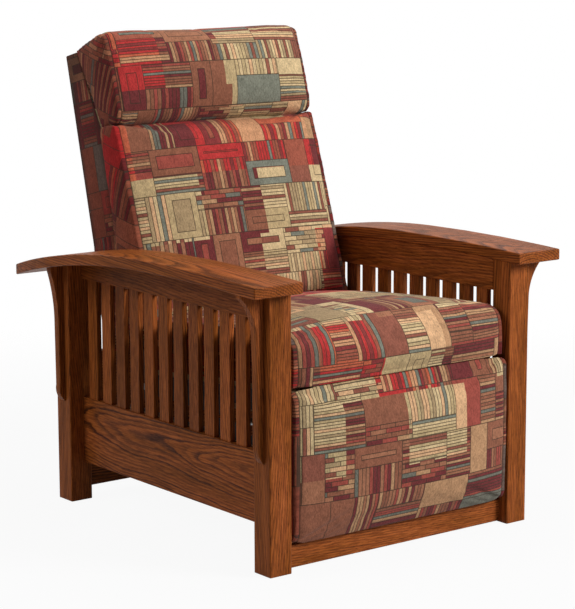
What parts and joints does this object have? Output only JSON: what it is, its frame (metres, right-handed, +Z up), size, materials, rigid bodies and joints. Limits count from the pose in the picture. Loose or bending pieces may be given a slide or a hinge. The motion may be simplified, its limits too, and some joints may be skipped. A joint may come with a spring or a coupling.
{
  "type": "reclining armchair",
  "caption": "Mission style reclining armchair: bowed arms on slatted oak sides, a seat that swings forward and lifts a linked footrest, and a back that tilts; tapestry cushions.",
  "frame": {"origin": "on the floor, under the middle of the outer box, which the arms set in width and depth", "axes": "+Z up, the chair faces -Y, +X on the right of someone who stands in front and looks at it"},
  "size_m": [0.85, 0.963, 1.0936],
  "materials": {
    "stained_oak": "satin",
    "plain_hardwood": "matte",
    "mechanism_steel": "satin",
    "tapestry": "woven",
    "webbing": "woven"
  },
  "bodies": {
    "frame": {"front_leg_left": "stained_oak", "front_leg_right": "stained_oak", "rear_leg_left": "stained_oak", "rear_leg_right": "stained_oak", "arm_left": "stained_oak", "arm_right": "stained_oak", "arm_rail_left": "stained_oak", "arm_rail_right": "stained_oak", "side_rail_left": "stained_oak", "side_rail_right": "stained_oak", "slats_left": "stained_oak", "slats_right": "stained_oak", "front_corbel_left": "stained_oak", "front_corbel_right": "stained_oak", "rear_corbel_left": "stained_oak", "rear_corbel_right": "stained_oak", "runner_left": "plain_hardwood", "runner_right": "plain_hardwood", "base_plate_left": "mechanism_steel", "base_plate_right": "mechanism_steel", "front_rail": "stained_oak", "rear_rail": "stained_oak", "base_studs": "mechanism_steel"},
    "front_swing": {"front_swing_link_left": "mechanism_steel", "front_swing_link_right": "mechanism_steel", "swing_rod": "mechanism_steel"},
    "rear_swing": {"rear_swing_link_left": "mechanism_steel", "rear_swing_link_right": "mechanism_steel"},
    "seat": {"seat_side_board_left": "plain_hardwood", "seat_side_board_right": "plain_hardwood", "seat_plate_left": "mechanism_steel", "seat_plate_right": "mechanism_steel", "seat_cross_boards": "plain_hardwood", "seat_studs": "mechanism_steel", "seat_webbing": "webbing", "seat_cushion": "tapestry"},
    "footrest_rear_links": {"footrest_rear_link_left": "mechanism_steel", "footrest_rear_link_right": "mechanism_steel"},
    "footrest_front_links": {"footrest_front_link_left": "mechanism_steel", "footrest_front_link_right": "mechanism_steel", "front_link_rod": "mechanism_steel"},
    "footrest_cross_links": {"footrest_cross_link_left": "mechanism_steel", "footrest_cross_link_right": "mechanism_steel"},
    "footrest_end_links": {"footrest_end_link_left": "mechanism_steel", "footrest_end_link_right": "mechanism_steel"},
    "footrest": {"footrest_bracket_left": "mechanism_steel", "footrest_bracket_right": "mechanism_steel", "footrest_board": "plain_hardwood", "footrest_pad": "tapestry"},
    "back": {"back_bracket_left": "mechanism_steel", "back_bracket_right": "mechanism_steel", "back_stile_left": "plain_hardwood", "back_stile_right": "plain_hardwood", "back_bottom_rail": "plain_hardwood", "back_middle_rail": "plain_hardwood", "back_top_rail": "plain_hardwood", "back_webbing": "webbing", "back_cover": "tapestry", "back_cushion": "tapestry", "head_pillow": "tapestry"}
  },
  "joints": [
    {"name": "seat_swing", "type": "hinge", "parent": "frame", "child": "front_swing", "pos_m": [0, -0.1985, 0.232], "axis": [1, 0, 0], "range_deg": [0, 50]},
    {"name": "seat_level", "type": "hinge", "parent": "front_swing", "child": "seat", "pos_m": [0, -0.16892, 0.29544], "axis": [-1, 0, 0], "range_deg": [0, 50.1]},
    {"name": "rear_swing_turn", "type": "hinge", "parent": "frame", "child": "rear_swing", "pos_m": [0, 0.1115, 0.232], "axis": [1, 0, 0], "range_deg": [0, 50.1]},
    {"name": "footrest_rear_turn", "type": "hinge", "parent": "seat", "child": "footrest_rear_links", "pos_m": [0, -0.3234, 0.31649], "axis": [-1, 0, 0], "range_deg": [0, 97.1]},
    {"name": "footrest_front_turn", "type": "hinge", "parent": "seat", "child": "footrest_front_links", "pos_m": [0, -0.3825, 0.354], "axis": [-1, 0, 0], "range_deg": [0, 97.1]},
    {"name": "footrest_cross_turn", "type": "hinge", "parent": "footrest_front_links", "child": "footrest_cross_links", "pos_m": [0, -0.30337, 0.14124], "axis": [1, 0, 0], "range_deg": [0, 97.1]},
    {"name": "footrest_end_turn", "type": "hinge", "parent": "footrest_front_links", "child": "footrest_end_links", "pos_m": [0, -0.28246, 0.085], "axis": [1, 0, 0], "range_deg": [0, 97.1]},
    {"name": "footrest_lift", "type": "hinge", "parent": "footrest_cross_links", "child": "footrest", "pos_m": [0, -0.39625, 0.20018], "axis": [-1, 0, 0], "range_deg": [0, 97.1]},
    {"name": "back_recline", "type": "hinge", "parent": "seat", "child": "back", "pos_m": [0, 0.1615, 0.372], "axis": [-1, 0, 0], "range_deg": [0, 35]}
  ],
  "couplings": [
    {"joint": "seat_level", "follows": "seat_swing", "ratio": 1},
    {"joint": "rear_swing_turn", "follows": "seat_swing", "ratio": 1},
    {"joint": "footrest_rear_turn", "follows": "seat_swing", "ratio": 1.94},
    {"joint": "footrest_front_turn", "follows": "seat_swing", "ratio": 1.94},
    {"joint": "footrest_cross_turn", "follows": "seat_swing", "ratio": 1.94},
    {"joint": "footrest_end_turn", "follows": "seat_swing", "ratio": 1.94},
    {"joint": "footrest_lift", "follows": "seat_swing", "ratio": 1.94}
  ]
}
